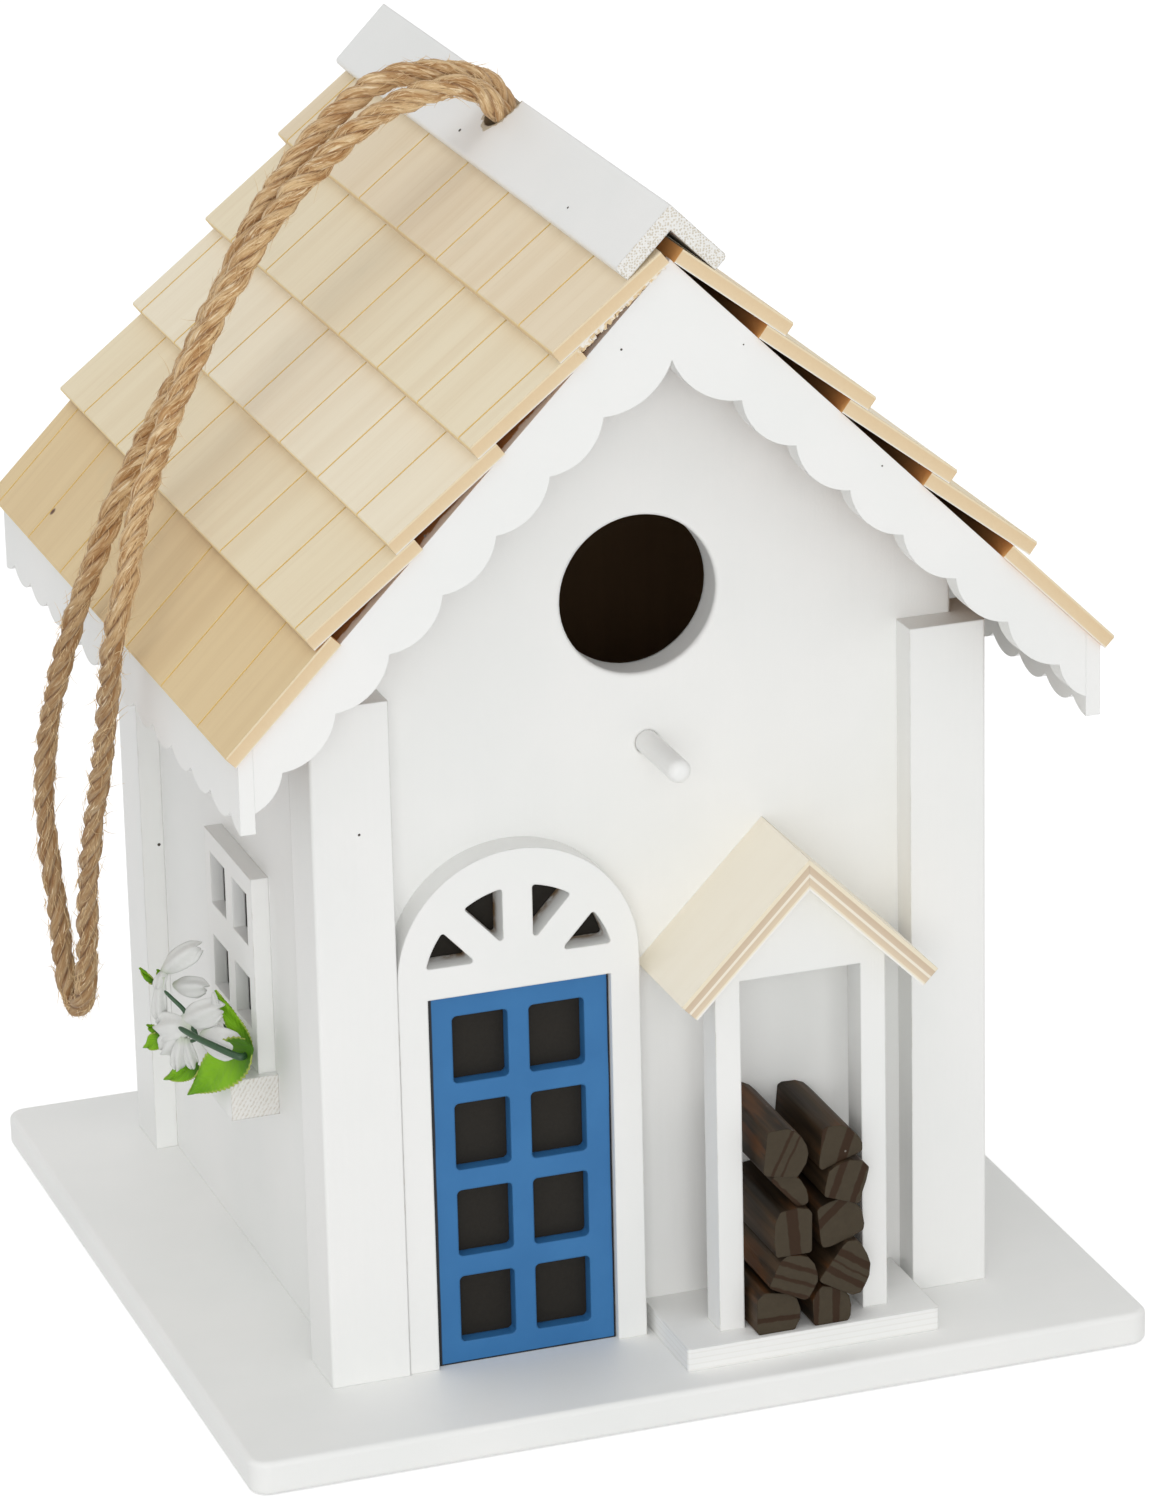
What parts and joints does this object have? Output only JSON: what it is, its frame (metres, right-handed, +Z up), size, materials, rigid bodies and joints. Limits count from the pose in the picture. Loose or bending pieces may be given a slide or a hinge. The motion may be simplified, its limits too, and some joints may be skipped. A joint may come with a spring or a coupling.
{
  "type": "decorative wooden birdhouse",
  "caption": "Painted wooden birdhouse with a lapped shingle roof, round entry hole, glazed door, woodshed porch, side windows, rear clean-out flap and a rope loop for hanging.",
  "frame": {"origin": "middle of the underside of the base board", "axes": "+Z up, -Y towards the front with the door and the entry hole, +X to the right as seen from the front"},
  "size_m": [0.1969, 0.188, 0.2525],
  "materials": {
    "white_paint": "painted matt white",
    "blue_paint": "painted satin blue",
    "dark_sheet": "matt dark",
    "shingle_wood": "raw pale veneer",
    "canopy_plywood": "raw plywood",
    "log_wood": "stained dark brown",
    "jute": "twisted natural jute",
    "leaf_green": "soft moulded leaf",
    "petal_white": "white cloth petals",
    "steel": "plain wire nail and screw"
  },
  "bodies": {
    "house": {"back_wall": "white_paint", "base_board": "white_paint", "button_screw": "steel", "canopy_left": "canopy_plywood", "canopy_right": "canopy_plywood", "cleanout_pins": "steel", "door_backing": "dark_sheet", "door_panel": "blue_paint", "door_surround": "white_paint", "eave_trim_left": "white_paint", "eave_trim_right": "white_paint", "flower_blossoms": "petal_white", "flower_stems": "leaf_green", "front_wall": "white_paint", "gable_trim_back": "white_paint", "gable_trim_front": "white_paint", "hanging_rope": "jute", "left_wall": "white_paint", "log_1": "log_wood", "log_10": "log_wood", "log_2": "log_wood", "log_3": "log_wood", "log_4": "log_wood", "log_5": "log_wood", "log_6": "log_wood", "log_7": "log_wood", "log_8": "log_wood", "log_9": "log_wood", "perch": "white_paint", "porch_frame": "white_paint", "porch_step": "white_paint", "post_back_left": "white_paint", "post_back_right": "white_paint", "post_front_left": "white_paint", "post_front_right": "white_paint", "ridge_cap": "white_paint", "right_wall": "white_paint", "roof_panel_left": "white_paint", "roof_panel_right": "white_paint", "rope_knot": "jute", "shingle_left_1": "shingle_wood", "shingle_left_2": "shingle_wood", "shingle_left_3": "shingle_wood", "shingle_left_4": "shingle_wood", "shingle_left_5": "shingle_wood", "shingle_right_1": "shingle_wood", "shingle_right_2": "shingle_wood", "shingle_right_3": "shingle_wood", "shingle_right_4": "shingle_wood", "shingle_right_5": "shingle_wood", "window_backing_left": "dark_sheet", "window_backing_right": "dark_sheet", "window_box_left": "white_paint", "window_box_right": "white_paint", "window_left": "white_paint", "window_right": "white_paint"},
    "cleanout_door": {"cleanout_door": "white_paint"},
    "turn_button": {"turn_button": "white_paint"}
  },
  "joints": [
    {"name": "cleanout_hinge", "type": "hinge", "parent": "house", "child": "cleanout_door", "pos_m": [0, 0.0645, 0.0828], "axis": [1, 0, 0], "range_deg": [0, 80]},
    {"name": "button_turn", "type": "hinge", "parent": "house", "child": "turn_button", "pos_m": [0.038, 0.0683, 0.033], "axis": [0, 1, 0], "range_deg": [0, 90]}
  ]
}
